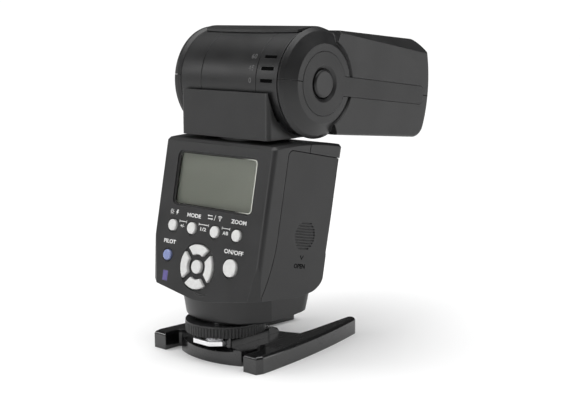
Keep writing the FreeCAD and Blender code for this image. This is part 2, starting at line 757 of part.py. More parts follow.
def make_swivel_bearing():
    """Plain ring fixed in the body's top, with the collar that the neck turns over."""
    flange = swivel_rod(HUB_BORE + 4.0, 95.2, 98.0).common(body_block(WALL))
    return flange.fuse(swivel_rod(HUB_BORE, 95.2, BEARING_TOP)).cut(swivel_rod(TUBE_R + RUN, 90, 110))


def make_swivel_tube():
    pipe = swivel_rod(TUBE_R, 93.2, TUBE_TOP)
    notch = box(-1.5, 1.5, SWIVEL_Y - 13, SWIVEL_Y + 13, 93.0, 93.9)
    return pipe.cut([swivel_rod(TUBE_IN, 90, 110), notch])


def make_swivel_retainer():
    return swivel_rod(14.5, 93.4, 94.9).cut(swivel_rod(TUBE_R, 90, 110))


# ---- neck and drum ---------------------------------------------------------------------------
NECK_REAR = 0.6
NECK_FRONT = 37.0


def pivot_rod(radius, x0, x1):
    return rod((x0, PIVOT_Y, PIVOT_Z), (1, 0, 0), radius, x1 - x0)


def neck_block(inset):
    block = box(inset - NECK_FAR, NECK_X - inset, NECK_REAR + inset, NECK_FRONT - inset,
                NECK_BOTTOM, PIVOT_Z - 3.4)
    radius = 2.2 - inset * 0.8
    return block.makeFillet(radius, edges_where(block, lambda e: along(e, (0, 0, 1))))


def make_neck_shell():
    """Fairing behind and beside the drum, with a saddle that the drum beds in."""
    skin = neck_block(0.0).cut(neck_block(1.8))
    floor = neck_block(1.0).common(box(-60, 60, -60, 60, NECK_BOTTOM, NECK_BOTTOM + 2.0))
    fairing = skin.fuse(floor).cut(pivot_rod(CRADLE_R, -60, 60))
    wedge = prism_x([(PIVOT_Y, PIVOT_Z), (PIVOT_Y - 24.6, PIVOT_Z - 22.2), (PIVOT_Y - 24.6, NECK_BOTTOM),
                     (PIVOT_Y + 11.0, NECK_BOTTOM)], -NECK_X + 0.9, NECK_X - 0.9)
    saddle = wedge.common(neck_block(0.9)).cut(pivot_rod(DRUM_R, -60, 60))
    pocket = box(-NECK_X + 6, -14.0, 2.5, 40, NECK_BOTTOM + 2.0, 108)
    saddle = saddle.cut([pocket, mirror_x(pocket)])
    return fairing.fuse(saddle).cut(swivel_rod(TUBE_R, 90, TUBE_TOP))


def make_tilt_drum():
    shell = pivot_rod(DRUM_R, -DRUM_HALF, DRUM_HALF)
    seams = [tube((x, PIVOT_Y, PIVOT_Z), (1, 0, 0), DRUM_R + 1, DRUM_R - 0.25, 0.35) for x in (-17.0, 17.6)]
    hollow = pivot_rod(DRUM_R - 1.8, -DRUM_HALF + 1.8, DRUM_HALF - 1.8)
    journals = pivot_rod(JOURNAL_R, -34.6, 34.6)
    bore = pivot_rod(7.0, -36, 36)
    ticks = []
    for angle in (4.4, 17.6, 30.8):
        tick = box(20.4, 27.6, -DRUM_R - 1, -DRUM_R + 0.6, -0.8, 0.8)
        tick = turned(tick, -angle)
        ticks.append(moved(tick, 0, PIVOT_Y, PIVOT_Z))
    return shell.cut([hollow] + seams + ticks).fuse(journals).cut([bore, swivel_rod(TUBE_R, 90, TUBE_TOP)])


# ---- head ----------------------------------------------------------------------------------
HEAD_LONG = 79.0
TOP_REAR_U = 24.4
BAND = (-4.5, 4.2)
BAND_END = 74.0
LENS_X = 32.5
DISH_BACK = -1.5
PLATE_REAR = -12.0
HEAD_SCREWS = [(x, a) for x in (-32.7, 32.7) for a in (33.0, 64.0)]
LENS_U = (-16.0, 18.4)


def head_profile(inset=0.0):
    """Side outline in the head frame: flat bottom, rising top, bulging front."""
    tail_low = (12.0, -22.2 + inset)
    low = (75.4 - inset, -20.55 + inset)
    nose = (HEAD_LONG - inset, 3.5)
    top = (73.4 - inset, 26.9 - inset)
    tail_top = (9.0, TOP_REAR_U - inset)
    edges = [
        Part.LineSegment(V(0, *tail_low), V(0, *low)).toShape(),
        Part.Arc(V(0, *low), V(0, *nose), V(0, *top)).toShape(),
        Part.LineSegment(V(0, *top), V(0, *tail_top)).toShape(),
        Part.LineSegment(V(0, *tail_top), V(0, 0, 0)).toShape(),
        Part.LineSegment(V(0, 0, 0), V(0, *tail_low)).toShape(),
    ]
    return Part.Face(Part.Wire(edges))


def top_bevel(inset=0.0):
    """The sloping facet along the head's upper edge, widening to the front."""
    def triangle(a, crease, inner):
        x = SIDE_X - inset * 0.5
        return Part.makePolygon([V(x + 0.02, a, crease - inset), V(inner, a, 32.0 - inset),
                                 V(60, a, 32.0), V(60, a, crease - inset), V(x + 0.02, a, crease - inset)])
    wedge = Part.makeLoft([triangle(8.0, 23.4, 26.0), triangle(90.0, 19.6, 24.0)], True, True)
    return wedge


def shoulder(rim_x):
    """Round end of the head, from its inner face past its rim at rim_x to the hub disc."""
    points = [(0, ARM_IN), (ARM_R - 1.0, ARM_IN), (ARM_R, ARM_IN + 1.6), (ARM_R, rim_x),
              (ARM_R - 1.6, rim_x + 1.6), (17.6, SIDE_X), (0, SIDE_X)]
    outline = face_of([(x, r, 0) for r, x in points])
    return outline.revolve(V(0, 0, 0), V(1, 0, 0), 360)


def dish():
    """Hollow in the flat side round the hub, set back so that a crescent shows in front."""
    points = [(0, SIDE_X - 2.4), (0, SIDE_X + 1), (23.0, SIDE_X + 1), (21.2, SIDE_X), (19.8, SIDE_X - 2.4)]
    hollow = face_of([(x, r, 0) for r, x in points]).revolve(V(0, 0, 0), V(1, 0, 0), 360)
    return moved(hollow, y=DISH_BACK)


def head_front(inset=0.0):
    half = SIDE_X - inset
    solid = moved(head_profile(inset), -half).extrude(V(2 * half, 0, 0))
    for radius, sign in ((7.0, 1), (8.0, -1)):
        corner = edges_where(solid, lambda e: along(e, (1, 0, 0), 30) and e.CenterOfMass.y > 70
                             and e.CenterOfMass.z * sign > 10)
        solid = solid.makeFillet(radius - inset, corner)
    if inset == 0.0:
        sides = edges_where(solid, lambda e: abs(abs(e.CenterOfMass.x) - SIDE_X) < 0.01
                            and -24 < e.CenterOfMass.z < -12 and e.CenterOfMass.y > 20)
        solid = solid.makeFillet(1.5, sides)
    bevel = top_bevel(inset)
    return solid.cut([bevel, mirror_x(bevel)])


def head_solid():
    """Everything outside: front block, two round ends and the top plate over the drum."""
    ends = [shoulder(32.2), mirror_x(shoulder(33.6))]
    clear = rod((-ARM_IN, 0, 0), (1, 0, 0), CRADLE_R, 2 * ARM_IN)
    throat = box(-ARM_IN, ARM_IN, -40, 19.5, -40, 0)
    behind = box(-60, 60, -60, 0, -60, 60)
    block = head_front().cut([clear, throat, behind, dish(), mirror_x(dish())])
    return block.fuse(ends).fuse(top_plate())


def top_plate():
    """Thin curved plate that closes the top of the drum; its rear edge is almost straight."""
    ring = tube((-ARM_IN, 0, 0), (1, 0, 0), PLATE_OUT, PLATE_IN, 2 * ARM_IN)
    rear = [(-28.6, PLATE_REAR + 0.9), (0.0, PLATE_REAR), (28.6, PLATE_REAR + 0.9)]
    outline = [rear[2], (ARM_IN, PLATE_REAR + 3.0), (ARM_IN, 14.0), (-ARM_IN, 14.0),
               (-ARM_IN, PLATE_REAR + 3.0), rear[0]]
    sides = [line_edge(a, b, 0) for a, b in zip(outline, outline[1:])]
    plan = Part.Face(Part.Wire([arc_edge(*rear, 0)] + sides)).extrude(V(0, 0, 40))
    return ring.common(plan)


def head_inside():
    """The hollow behind the lens and in front of the drum."""
    block = head_front(1.8)
    wall = rod((-60, 0, 0), (1, 0, 0), CRADLE_R + 1.6, 120)
    return block.cut([wall, box(-60, 60, -60, 19.5 + 1.6, -60, 0)])


def journal_bores():
    bore = rod((0, 0, 0), (1, 0, 0), JOURNAL_R + RUN, 34.9)
    button_way = rod((30.0, 0, 0), (1, 0, 0), BUTTON_R + 0.3, 10.0)
    return both_sides(bore) + both_sides(button_way)


def cap_shape(grow=0.0, x0=35.6):
    """Hub disc with the band that runs from it to the front of the head."""
    disc = rod((x0, 0, 0), (1, 0, 0), DISC_R + grow, SIDE_X + 0.1 - x0)
    band = rounded_box(x0, SIDE_X + 0.1, 2.0, BAND_END + grow, BAND[0] - grow, BAND[1] + grow, 2.6,
                       (1, 0, 0))
    return disc.fuse(band)


def make_side_cap(with_button):
    cap = cap_shape()
    if with_button:
        cap = cap.cut([rod((35.0, 0, 0), (1, 0, 0), BUTTON_R + 0.3, 5.0),
                       Part.makeCone(BUTTON_R + 0.3, 8.4, 1.2, V(SIDE_X - 1.0, 0, 0), V(1, 0, 0))])
    return cap


def head_posts(u0, u1):
    posts = [rod((x, a, u0), (0, 0, 1), 2.4, u1 - u0) for x, a in HEAD_SCREWS]
    return [post.common(head_front(1.0)) for post in posts]


def make_head_shells():
    """The upper and lower shells, which close round the two journals of the drum."""
    pocket = cap_shape(0.12)
    lens_way = rounded_box(-LENS_X, LENS_X, 60, 90, LENS_U[0], LENS_U[1], 3.0, (0, 1, 0))
    card_way = box(-30.6, 30.6, 66, 90, 19.0, 22.6)
    shell = head_solid().cut([head_inside(), pocket, mirror_x(pocket), lens_way, card_way] + journal_bores())
    bores = [rod((x, a, -30), (0, 0, 1), 1.0, 27.2) for x, a in HEAD_SCREWS]
    sinks = [rod((x, a, -30), (0, 0, 1), 1.9, 13.2) for x, a in HEAD_SCREWS]
    top = shell.common(box(-60, 60, -60, 120, 0.12, 60)).fuse(head_posts(-8.0, 26.0)).cut(bores)
    bottom = shell.common(box(-60, 60, -60, 120, -60, -0.12)).fuse(head_posts(-24.0, -8.1))
    return head_place(top), head_place(bottom.cut(bores + sinks))


def make_release_button():
    body = rod((31.4, 0, 0), (1, 0, 0), BUTTON_R, SIDE_X + 0.2 - 31.4)
    rim = edges_where(body, lambda e: e.Closed and e.CenterOfMass.x > SIDE_X)
    return head_place(body.makeFillet(1.2, rim))


def make_fresnel_lens():
    """Front lens with its fine horizontal grooves on the inner side."""
    plate = rounded_box(-LENS_X + 0.1, LENS_X - 0.1, 73.0, 75.0, LENS_U[0] + 0.1, LENS_U[1] - 0.1,
                        2.9, (0, 1, 0))
    pitch = 1.6
    count = int((LENS_U[1] - LENS_U[0] - 4) / pitch)
    grooves = []
    for row in range(count):
        u = LENS_U[0] + 2.2 + row * pitch
        grooves.append(prism_x([(72.9, u), (72.9, u + pitch * 0.7), (73.6, u)], -LENS_X + 2.5, LENS_X - 2.5))
    return head_place(plate.cut(grooves))


REFLECTOR_REAR = 40.0
REFLECTOR_LONG = 15.0
ROD_SPOT = (26.0, -9.0)
SCREW_U = -13.5


def make_reflector():
    """Bright trough with an ear on each side that runs on the guide rods."""
    def section(rear, half_rear, half_front, end):
        outline = [(rear, -half_rear), (end, -half_front), (end, half_front), (rear, half_rear)]
        return prism_x(outline, -24.5, 24.5)
    a0 = REFLECTOR_REAR
    a1 = a0 + REFLECTOR_LONG
    outer = section(a0, 5.0, 12.5, a1)
    inner = section(a0 + 1.0, 4.2, 11.9, a1 + 0.8)
    trough = outer.cut(inner.common(box(-23.7, 23.7, -90, 90, -90, 90)))
    ears = both_sides(box(23.0, ROD_SPOT[0] + 2.4, a0 + 3, a0 + 9, ROD_SPOT[1] - 2.6, ROD_SPOT[1] + 2.6))
    nut = box(-3.0, 3.0, a0 + 3, a0 + 8, SCREW_U - 2.6, -6.4).cut(inner)
    holes = [rod((x, 0, ROD_SPOT[1]), (0, 1, 0), 1.5 + RUN, 90) for x in (-ROD_SPOT[0], ROD_SPOT[0])]
    holes.append(rod((0, 0, SCREW_U), (0, 1, 0), 1.5 + RUN, 90))
    holes += [rod((-30, a0 + 4.2, 0), (1, 0, 0), 2.0, 60)]
    return head_place(join([trough] + ears + [nut]).cut(holes))


def make_xenon_tube():
    glass = rod((-27.0, REFLECTOR_REAR + 4.2, 0), (1, 0, 0), 2.0, 54.0)
    return head_place(glass.makeFillet(0.6, edges_where(glass, lambda e: e.Closed)))


def make_guide_rods():
    return [head_place(rod((x, 27.4, ROD_SPOT[1]), (0, 1, 0), 1.5, 45.0))
            for x in (-ROD_SPOT[0], ROD_SPOT[0])]


def make_lead_screw():
    core = rod((0, 36.5, SCREW_U), (0, 1, 0), 1.5, 34.0)
    flat = box(0.9, 2.0, 30, 75, SCREW_U - 2, SCREW_U + 2).common(box(-5, 5, 68, 75, -40, 40))
    return head_place(core.cut(flat))


def make_zoom_motor():
    can = rod((0, 27.6, SCREW_U), (0, 1, 0), 5.0, 8.6).cut(box(-6, 6, 20, 50, SCREW_U - 6, SCREW_U - 4.4))
    boss = rod((0, 28.0, SCREW_U), (0, 1, 0), 2.0, 8.4)
    return head_place(can.fuse(boss))


def make_head_screws():
    screws = []
    for x, a in HEAD_SCREWS:
        head = rod((x, a, -18.0), (0, 0, 1), 1.85, 1.2)
        shank = rod((x, a, -17.0), (0, 0, 1), 1.0, 14.0)
        cross = box(x - 1.1, x + 1.1, a - 0.2, a + 0.2, -18.1, -17.4)
        screws.append(head_place(head.fuse(shank).cut([cross, turned(cross, 90, (x, a, 0), (0, 0, 1))])))
    return screws


def make_wide_panel():
    plate = box(-29.8, 29.8, 30.0, 76.0, 19.3, 20.6)
    grip = box(-8.0, 8.0, 75.0, 76.6, 19.3, 20.9)
    return head_place(plate.fuse(grip))


def make_bounce_card():
    plate = box(-29.8, 29.8, 30.0, 76.0, 21.3, 22.1)
    return head_place(plate)


# ---- export ---------------------------------------------------------------------------------
def compound(shapes):
    return shapes[0] if len(shapes) == 1 else Part.makeCompound(shapes)


def write(name, shape):
    solids = shape if isinstance(shape, list) else shape.Solids
    for solid in solids:
        if not solid.isValid():
            print("invalid:", name)
    compound(solids).exportStep("parts/" + name + ".step")
    volume = sum(s.Volume for s in solids)
    print(f"{name}: {len(solids)} solid(s), {volume / 1000:.2f} cm3")


def main():
    os.makedirs("parts", exist_ok=True)
    shell = make_shell()
    head_top, head_bottom = make_head_shells()
    nodes = {
        "stand_base": make_stand_base(),
        "tripod_bush": make_tripod_bush(),
        "hot_shoe_foot": make_hot_shoe_foot(),
        "shoe_contacts": make_shoe_contacts(),
        "foot_screws": make_foot_screws(),
        "lock_pin": make_lock_pin(),
        "pressure_washer": make_pressure_washer(),
        "lock_ring": make_lock_ring(),
        "foot_housing": make_foot_housing(),
        "rear_case": make_rear_case(shell),
        "front_case": make_front_case(shell),
        "battery_door": make_battery_door(),
        "door_hinge_sleeve": make_door_sleeve(),
        "door_hinge_pin": make_door_hinge_pin(),
        "lcd_window": make_lcd_window(),
        "lcd_panel": make_lcd_panel(),
        "key_membrane": make_key_membrane(),
        "control_board": make_control_board(),
        "indicator_lens": make_indicator_lens(),
        "battery_bay": make_battery_bay(),
        "aa_cells": make_aa_cells(),
        "battery_contacts": make_battery_contacts(),
        "battery_springs": make_battery_springs(),
        "main_capacitor": make_main_capacitor(),
        "power_board": make_power_board(),
        "transformer": make_transformer(),
        "board_screws": make_board_screws(),
        "sensor_window": make_sensor_window(),
        "slave_sensor": make_slave_sensor(),
        "swivel_bearing": make_swivel_bearing(),
        "swivel_tube": make_swivel_tube(),
        "swivel_retainer": make_swivel_retainer(),
        "neck_shell": make_neck_shell(),
        "tilt_drum": make_tilt_drum(),
        "head_top_shell": head_top,
        "head_bottom_shell": head_bottom,
        "right_side_cap": head_place(make_side_cap(True)),
        "left_side_cap": head_place(mirror_x(make_side_cap(False))),
        "tilt_release_button": make_release_button(),
        "fresnel_lens": make_fresnel_lens(),
        "reflector": make_reflector(),
        "xenon_tube": make_xenon_tube(),
        "guide_rods": make_guide_rods(),
        "lead_screw": make_lead_screw(),
        "zoom_motor": make_zoom_motor(),
        "head_screws": make_head_screws(),
        "wide_panel": make_wide_panel(),
        "bounce_card": make_bounce_card(),
    }
    for name, (x, z, radius) in KEYS.items():
        if name != "key_centre":
            nodes[name] = make_round_key(x, z, radius)
    nodes["key_centre"] = make_centre_key()
    for turn, name in enumerate(("key_up", "key_right", "key_down", "key_left")):
        nodes[name] = make_arc_key(90 * turn)
    for name, shape in nodes.items():
        write(name, shape)


main()
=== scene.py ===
import json
import math

import bpy
from mathutils import Matrix, Vector


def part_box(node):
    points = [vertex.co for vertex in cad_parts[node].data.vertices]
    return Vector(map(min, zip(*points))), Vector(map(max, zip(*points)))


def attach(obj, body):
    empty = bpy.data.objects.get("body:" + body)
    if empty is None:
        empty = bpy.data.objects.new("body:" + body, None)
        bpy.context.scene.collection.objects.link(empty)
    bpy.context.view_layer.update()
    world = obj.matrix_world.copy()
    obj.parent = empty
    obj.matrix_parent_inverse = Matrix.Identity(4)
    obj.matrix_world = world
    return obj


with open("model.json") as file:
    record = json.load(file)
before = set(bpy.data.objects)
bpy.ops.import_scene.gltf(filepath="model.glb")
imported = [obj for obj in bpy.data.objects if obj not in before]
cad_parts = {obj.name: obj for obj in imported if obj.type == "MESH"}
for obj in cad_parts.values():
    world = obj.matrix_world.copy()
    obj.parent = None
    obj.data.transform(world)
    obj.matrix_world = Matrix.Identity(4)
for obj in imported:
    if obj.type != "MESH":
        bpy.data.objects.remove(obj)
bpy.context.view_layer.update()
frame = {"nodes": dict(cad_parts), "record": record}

# ---- where things are, in metres and radians, in the frame of the part -----------------
FACE_LEAN = math.radians(11.58)
FACE_TOP = Vector((0.0, -0.002, 0.1))
FACE_DOWN = Vector((0.0, -math.sin(FACE_LEAN), -math.cos(FACE_LEAN)))
FACE_IN = Vector((0.0, math.cos(FACE_LEAN), -math.sin(FACE_LEAN)))
PIVOT = Vector((0.0, 0.0265, 0.1246))
DRUM_RADIUS = 0.0238
DOOR_FACE_X = 0.0341
PRINT_THICK = 0.00003
HEAD_DROOP = math.radians(7.0)
EDGE_ROUND = 0.0004

CAMERA_PLACE = Vector((0.3772, -0.3687, 0.1568))
CAMERA_YAW = math.radians(42.41)
CAMERA_PITCH = math.radians(-9.26)
CAMERA_ROLL = math.radians(-0.2)
CAMERA_LENS = 73.13
CAMERA_SENSOR = 36.0
CAMERA_NEAR = 0.01

# ---- light and floor --------------------------------------------------------------------
WORLD_SEEN = 1.05
WORLD_FILL = 0.06
SUN_STRENGTH = 3.7
SUN_SPREAD = 1.3
LIGHT_TARGET = (0.0, 0.03, 0.09)
# Each light: its name, place, width and height in metres, power in watts.
LIGHTS = (
    ("key_light", (-0.75, -0.6, 0.42), (0.25, 0.25), 1.1),
    ("front_light", (-0.05, -0.8, 0.25), (0.2, 0.5), 1.6),
    ("right_light", (0.85, 0.8, 0.25), (0.4, 0.6), 1.6),
)
FLOOR_REACH = 6.0
FLOOR_PATCH = 0.4
FLOOR_ROUGH = 0.6

# ---- marks on the rear face: x across, z the height above the ground ---------------------
TEXT_STEPS = 3
TEXT_WEIGHT = 0.03
STROKE = 0.0003
# Each word: its text, x, z, width and height.
WORDS = (
    ("MODE", -0.0101, 0.06485, 0.0090, 0.00185),
    ("ZOOM", 0.0184, 0.0651, 0.0094, 0.00185),
    ("PILOT", -0.0238, 0.0517, 0.0080, 0.0019),
    ("ON/OFF", 0.0177, 0.0520, 0.0118, 0.0020),
)
# Each bracket between two keys runs from one x to another; each caption has a text, x and width.
LINKS = ((-0.0190, -0.0144), (-0.0062, 0.0), (0.0087, 0.0135))
LINK_Z = 0.0615
LINK_STROKE = 0.00035
LINK_END = 0.0006
CAPTIONS = (("+/-", -0.0169, 0.0026), ("1/2", -0.0031, 0.0038), ("A/B", 0.0111, 0.0034))
CAPTION_Z = 0.0595
CAPTION_HIGH = 0.0016
LAMP_X = -0.0248
LAMP_Z = 0.0652
LAMP_R = 0.0008
RAY_COUNT = 8
RAY_FROM = 0.0010
RAY_TO = 0.0014
RAY_STROKE = 0.00022
BOLT_X = -0.0214
BOLT = ((0.0, 0.0012), (0.0010, 0.0012), (0.0003, 0.0002), (0.0011, 0.0002),
        (-0.0005, -0.0013), (-0.0001, -0.0003), (-0.0008, -0.0003))
TRANSFER_Z = 0.0653
ARROW_X = 0.0004
ARROW = ((-0.0010, 0.0009), (0.0014, 0.0009), (0.0014, 0.0005), (-0.0010, 0.0005),
         (-0.0010, 0.0002), (-0.0018, 0.0007), (-0.0010, 0.0012))
SLASH = (0.0030, -0.0012, 0.0038, 0.0012)
SIGNAL_X = 0.0066
SIGNAL_DROP = 0.0008
SIGNAL_ARCS = (0.0008, 0.0014, 0.0020)
SIGNAL_SPAN = (50.0, 130.0)
SIGNAL_STEPS = 8
SIGNAL_DOT = 0.00035
SIGNAL_DOT_WIDE = 0.00034

# ---- the lip round the display's window, with a painted highlight -----------------------
WINDOW_SIZE = (0.0492, 0.0239)
WINDOW_MIDDLE = 0.01955
WINDOW_CORNER = 0.0021
WINDOW_BAND = 0.00035
WINDOW_DEPTH = 0.00065
WINDOW_LIP = 10.0
CORNER_STEPS = 6

# ---- the door's word and arrow: how far in from the rear face, how far up it -------------
# The word: its text, place in and up (negative: below the face's top edge), width, height.
DOOR_WORD = ("OPEN", 0.0258, -0.0517, 0.0074, 0.0021)
DOOR_ARROW_PLACE = (0.0266, -0.0477)
DOOR_ARROW_HALF = 0.0011
DOOR_ARROW_TOP = 0.0008
DOOR_ARROW_TIP = -0.0009
DOOR_ARROW_STROKE = 0.0004

# ---- the drum's numbers and the painted shade in its marks; angles up from level, in degrees ------
DIAL_X = 0.0142
DIAL_NUMBERS = (("0", 4.4), ("45", 17.6), ("60", 30.8))
DIAL_DIGIT = (0.0016, 0.0024)
DIAL_WEIGHT = 0.01
TICK_X = (0.0205, 0.0275)
TICK_WIDE = 0.0014
RECESS_SHADE_DEPTH = 0.0001

# ---- seals in the seam of the head's shells: x across, y ahead of the tilt axis ----------
SEAL_LIFT = 3.0
SEAL_ENDS = (
    ((0.0307, -0.015), (0.0307, -0.0235), (0.0319, -0.0243), (0.0322, -0.0243),
     (0.0338, -0.0228), (0.0358, -0.0176), (0.0358, -0.015)),
    ((0.0328, 0.0746), (0.0368, 0.0746), (0.0368, 0.0784), (0.0328, 0.0784)),
)

# ---- surfaces -----------------------------------------------------------------------------
NOISE_LOW = 0.3
NOISE_HIGH = 0.7
BEVEL_SAMPLES = 6
METAL_ROUND = 0.00015
KEY_ROUND = 0.0003
KEY_RIM = 0.0009
SCRATCH_ROUGH = 0.15
# The display's grey green in painted shade and in painted light.
DISPLAY_GREEN_IN_PAINTED_SHADE = (0.24, 0.24, 0.21, 1.0)
DISPLAY_GREEN_IN_PAINTED_LIGHT = (0.37, 0.37, 0.33, 1.0)
DISPLAY_CLOUD = (0.42, 0.42, 0.37, 1.0)
DISPLAY_DOT = 0.0003
# The lip's colour is painted light: painted shade on most of it, a painted highlight towards the +X
# side.
LIP_PAINTED_SHADE = (0.02, 0.02, 0.018, 1.0)
LIP_PAINTED_HIGHLIGHT = (0.78, 0.79, 0.72, 1.0)
LIP_PAINTED_HIGHLIGHT_FROM = 0.8
MASK_GREEN = (0.01, 0.09, 0.035, 1.0)
TRACK_GREEN = (0.05, 0.2, 0.09, 1.0)
CELL_DARK = (0.015, 0.016, 0.02, 1.0)
CELL_COPPER = (0.5, 0.21, 0.06, 1.0)
CELL_BAND_FROM = 0.72
CARD_DIM = (0.72, 0.72, 0.7, 1.0)
CARD_BRIGHT = (0.86, 0.86, 0.84, 1.0)
FLOOR_DIM = (0.93, 0.93, 0.93, 1.0)
FLOOR_BRIGHT = (0.95, 0.95, 0.95, 1.0)
WHITE = (1.0, 1.0, 1.0, 1.0)


# ---- node graphs ----------------------------------------------------------------------
class Graph:
    """One material's nodes, with its Principled shader at hand."""

    def __init__(self, name):
        self.material = bpy.data.materials.new(name)
        self.material.use_nodes = True
        self.tree = self.material.node_tree
        self.shader = self.tree.nodes["Principled BSDF"]
        self.place = self.node("TexCoord").outputs["Object"]

    def node(self, kind, **inputs):
        """A new shader node; spaces in an input's name are written as underscores."""
        made = self.tree.nodes.new("ShaderNode" + kind)
        for key, value in inputs.items():
            self.feed(made.inputs[key.replace("_", " ")], value)
        return made

    def feed(self, socket, value):
        """Link a socket to another, or set its value."""
        if isinstance(value, bpy.types.NodeSocket):
            self.tree.links.new(value, socket)
        else:
            socket.default_value = value

    def set(self, **inputs):
        for key, value in inputs.items():
            self.feed(self.shader.inputs[key.replace("_", " ")], value)

    def math(self, operation, first, second):
        made = self.tree.nodes.new("ShaderNodeMath")
        made.operation = operation
        self.feed(made.inputs[0], first)
        self.feed(made.inputs[1], second)
        return made.outputs[0]

    def remap(self, value, low, high, to_low, to_high):
        made = self.node("MapRange", From_Min=low, From_Max=high, To_Min=to_low, To_Max=to_high)
        self.feed(made.inputs["Value"], value)
        return made.outputs["Result"]

    def spread(self, noise, to_low, to_high):
        """Noise, which mostly lies between NOISE_LOW and NOISE_HIGH, stretched to a new range."""
        return self.remap(noise, NOISE_LOW, NOISE_HIGH, to_low, to_high)

    def mix(self, factor, first, second):
        made = self.tree.nodes.new("ShaderNodeMix")
        made.data_type = "RGBA"
        self.feed(made.inputs["Factor"], factor)
        self.feed(made.inputs["A"], first)
        self.feed(made.inputs["B"], second)
        return made.outputs["Result"]

    def noise(self, size, detail=2.0, stretch=(1.0, 1.0, 1.0)):
        """Noise whose patches are about `size` metres across."""
        mapping = self.node("Mapping", Vector=self.place, Scale=stretch)
        place = mapping.outputs["Vector"]
        made = self.node("TexNoise", Vector=place, Scale=1.0 / size, Detail=detail)
        return made.outputs["Fac"]

    def cells(self, size):
        """Round cells about `size` metres across."""
        made = self.node("TexVoronoi", Vector=self.place, Scale=1.0 / size)
        return made.outputs["Distance"]

    def bump(self, height, distance, strength, radius=0.0):
        """Bump over edges that are rounded by `radius` metres."""
        made = self.node("Bump", Height=height, Distance=distance, Strength=strength)
        if radius > 0.0:
            self.feed(made.inputs["Normal"], self.rounded(radius))
        self.feed(self.shader.inputs["Normal"], made.outputs["Normal"])

    def rounded(self, radius):
        """The normal of the surface with its edges rounded."""
        made = self.node("Bevel", Radius=radius)
        made.samples = BEVEL_SAMPLES
        return made.outputs["Normal"]

    def edges(self, radius):
        """0 on open surface, up to 1 at an edge."""
        flat = self.node("NewGeometry").outputs["Normal"]
        dot = self.tree.nodes.new("ShaderNodeVectorMath")
        dot.operation = "DOT_PRODUCT"
        self.feed(dot.inputs[0], self.rounded(radius))
        self.feed(dot.inputs[1], flat)
        return self.remap(dot.outputs["Value"], 1.0, 0.85, 0.0, 1.0)


def shade(colour, factor):
    """The colour made darker or lighter by a factor, with full alpha."""
    return tuple(min(1.0, c * factor) for c in colour[:3]) + (1.0,)


# ---- materials ------------------------------------------------------------------------
def moulded(name, colour, rough, wear_and_highlight=0.3, ior=1.45):
    """Moulded plastic: spark-eroded grain, slow gloss patches, slightly paler edges that are partly
    rubbed wear and partly a painted highlight.
    """
    g = Graph(name)
    patches = g.noise(0.014, 3.0)
    specks = g.noise(0.0009, 1.0)
    tone = g.mix(g.spread(patches, 0.0, 1.0), shade(colour, 0.86), shade(colour, 1.14))
    tone = g.mix(g.remap(specks, 0.62, 0.75, 0.0, 0.25), tone, shade(colour, 1.9))
    # Paler edges: partly rubbed wear, partly a painted highlight where the edges catch light.
    wear_and_highlight_strength = g.remap(g.noise(0.003), 0.35, 0.65, 0.2 * wear_and_highlight, wear_and_highlight)
    wear_and_painted_highlight = g.math("MULTIPLY", g.edges(EDGE_ROUND * 2), wear_and_highlight_strength)
    g.set(Base_Color=g.mix(wear_and_painted_highlight, tone, shade(colour, 3.4)))
    gloss = g.remap(patches, 0.25, 0.75, rough - 0.05, rough + 0.05)
    g.set(Roughness=g.math("SUBTRACT", gloss, g.math("MULTIPLY", wear_and_painted_highlight, 0.2)))
    g.set(IOR=ior)
    g.bump(g.noise(0.0003, 2.0), 0.00002, 0.6, EDGE_ROUND)
    return g.material


def polished(name, colour, rough):
    """Gloss plastic: mould waviness and hairline scratches under a clear skin."""
    g = Graph(name)
    waves = g.noise(0.009, 2.0)
    scratches = g.noise(0.0006, 2.0, (1.0, 0.06, 1.0))
    g.set(Base_Color=g.mix(g.spread(waves, 0.0, 1.0), shade(colour, 0.8), shade(colour, 1.25)))
    marks = g.remap(scratches, 0.6, 0.75, 0.0, SCRATCH_ROUGH)
    g.set(Roughness=g.math("ADD", g.spread(waves, rough * 0.85, rough * 1.15), marks))
    g.set(Coat_Weight=0.5, Coat_Roughness=0.06, IOR=1.5)
    g.bump(waves, 0.00006, 0.5, EDGE_ROUND)
    return g.material


def metal(name, colour, rough, stretch=(1.0, 1.0, 0.05)):
    """Bare or plated metal with drawn marks."""
    g = Graph(name)
    marks = g.noise(0.0004, 3.0, stretch)
    stains = g.noise(0.006, 2.0)
    g.set(Base_Color=g.mix(g.spread(stains, 0.0, 1.0), shade(colour, 0.82), shade(colour, 1.08)))
    g.set(Roughness=g.spread(marks, rough * 0.7, rough * 1.3))
    g.set(Metallic=1.0)
    g.bump(marks, 0.00001, 0.5, METAL_ROUND)
    return g.material


def clear(name, colour, rough):
    """Clear plastic or quartz with a faint haze."""
    g = Graph(name)
    haze = g.noise(0.008, 2.0)
    g.set(Base_Color=g.mix(haze, shade(colour, 0.97), shade(colour, 1.03)))
    g.set(Roughness=g.spread(haze, rough * 0.7, rough * 1.3))
    g.set(Transmission_Weight=1.0, IOR=1.5)
    return g.material


def key_plastic(name, colour, deep, rough=0.35):
    """Hard translucent key: a soft glow under a fine matt skin, darker towards the rim."""
    g = Graph(name)
    cloud = g.noise(0.0014, 2.0)
    rim = g.edges(KEY_RIM)
    tone = g.mix(g.spread(cloud, 0.0, 1.0), shade(colour, 0.94), shade(colour, 1.04))
    g.set(Base_Color=g.mix(g.math("MULTIPLY", rim, 0.35), tone, shade(colour, 0.55)))
    g.set(Subsurface_Weight=deep, Subsurface_Radius=(0.4, 0.4, 0.4), Subsurface_Scale=0.001)
    g.set(Roughness=g.spread(cloud, rough - 0.05, rough + 0.07))
    g.bump(g.noise(0.00022), 0.00001, 0.5, KEY_ROUND)
    return g.material


